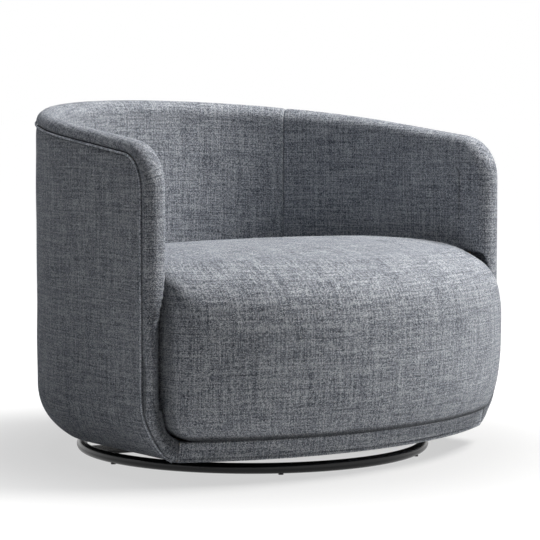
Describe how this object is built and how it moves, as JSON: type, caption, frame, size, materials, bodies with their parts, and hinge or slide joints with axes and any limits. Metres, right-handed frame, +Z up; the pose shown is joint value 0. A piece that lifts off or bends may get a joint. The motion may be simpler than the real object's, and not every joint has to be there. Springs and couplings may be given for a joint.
{
  "type": "swivel armchair",
  "caption": "Round-backed upholstered tub armchair with a thick bow-fronted seat, on a ball-bearing swivel over a round steel floor ring.",
  "frame": {"origin": "on the floor under the swivel axis, at the middle of the floor ring", "axes": "+Z up along the swivel axis, the seat faces -Y, +X to the sitter's left"},
  "size_m": [0.9162, 0.8869, 0.713],
  "materials": {
    "black_steel": "gloss powder coat",
    "woven_fabric": "blue-grey melange plain weave",
    "zinc_steel": "zinc plated",
    "bronze": "sintered bronze",
    "nylon": "black nylon",
    "cage_plastic": "natural nylon",
    "black_lining": "black non-woven",
    "wadding": "white polyester wadding",
    "foam": "polyurethane foam",
    "fibreboard": "brown fibreboard",
    "plywood": "birch plywood"
  },
  "bodies": {
    "base": {"floor_ring": "black_steel", "floor_glides": "nylon", "cross_bar": "black_steel", "hub_plate": "black_steel", "lower_race_plate": "zinc_steel", "hub_bolts": "zinc_steel", "king_bolt": "zinc_steel", "thrust_washer": "zinc_steel", "lock_nut": "zinc_steel"},
    "bearing_cage": {"ball_cage": "cage_plastic", "race_balls": "zinc_steel"},
    "chair": {"arm_cover_left": "woven_fabric", "arm_cover_right": "woven_fabric", "arm_foam_left": "foam", "arm_foam_right": "foam", "arm_frame_left": "plywood", "arm_frame_right": "plywood", "back_foam": "foam", "band_foam_left": "foam", "band_foam_right": "foam", "base_board": "plywood", "deck_felt": "wadding", "dust_cover": "black_lining", "front_rail_board": "plywood", "front_rail_cover": "woven_fabric", "front_rail_wadding": "wadding", "inner_back_cover": "woven_fabric", "inner_lining": "fibreboard", "mounting_block": "plywood", "outer_cover": "woven_fabric", "outer_fibreboard": "fibreboard", "outer_wadding": "wadding", "piping": "woven_fabric", "pivot_bush": "bronze", "plate_screws": "zinc_steel", "seat_back_rail": "plywood", "seat_bearers": "plywood", "seat_board": "plywood", "seat_bolts": "zinc_steel", "seat_border_foam": "foam", "seat_cover": "woven_fabric", "seat_foam_core": "foam", "seat_front_rail": "plywood", "seat_side_rail_left": "plywood", "seat_side_rail_right": "plywood", "seat_springs": "zinc_steel", "shell_ribs": "plywood", "spring_clips": "zinc_steel", "top_rail": "plywood", "upper_race_plate": "zinc_steel"}
  },
  "joints": [
    {"name": "seat_swivel", "type": "hinge", "parent": "base", "child": "chair", "pos_m": [0, 0, 0.0273], "axis": [0, 0, 1], "continuous": true},
    {"name": "cage_turn", "type": "hinge", "parent": "base", "child": "bearing_cage", "pos_m": [0, 0, 0.0273], "axis": [0, 0, 1], "continuous": true}
  ],
  "couplings": [
    {"joint": "cage_turn", "follows": "seat_swivel", "ratio": 0.5}
  ]
}
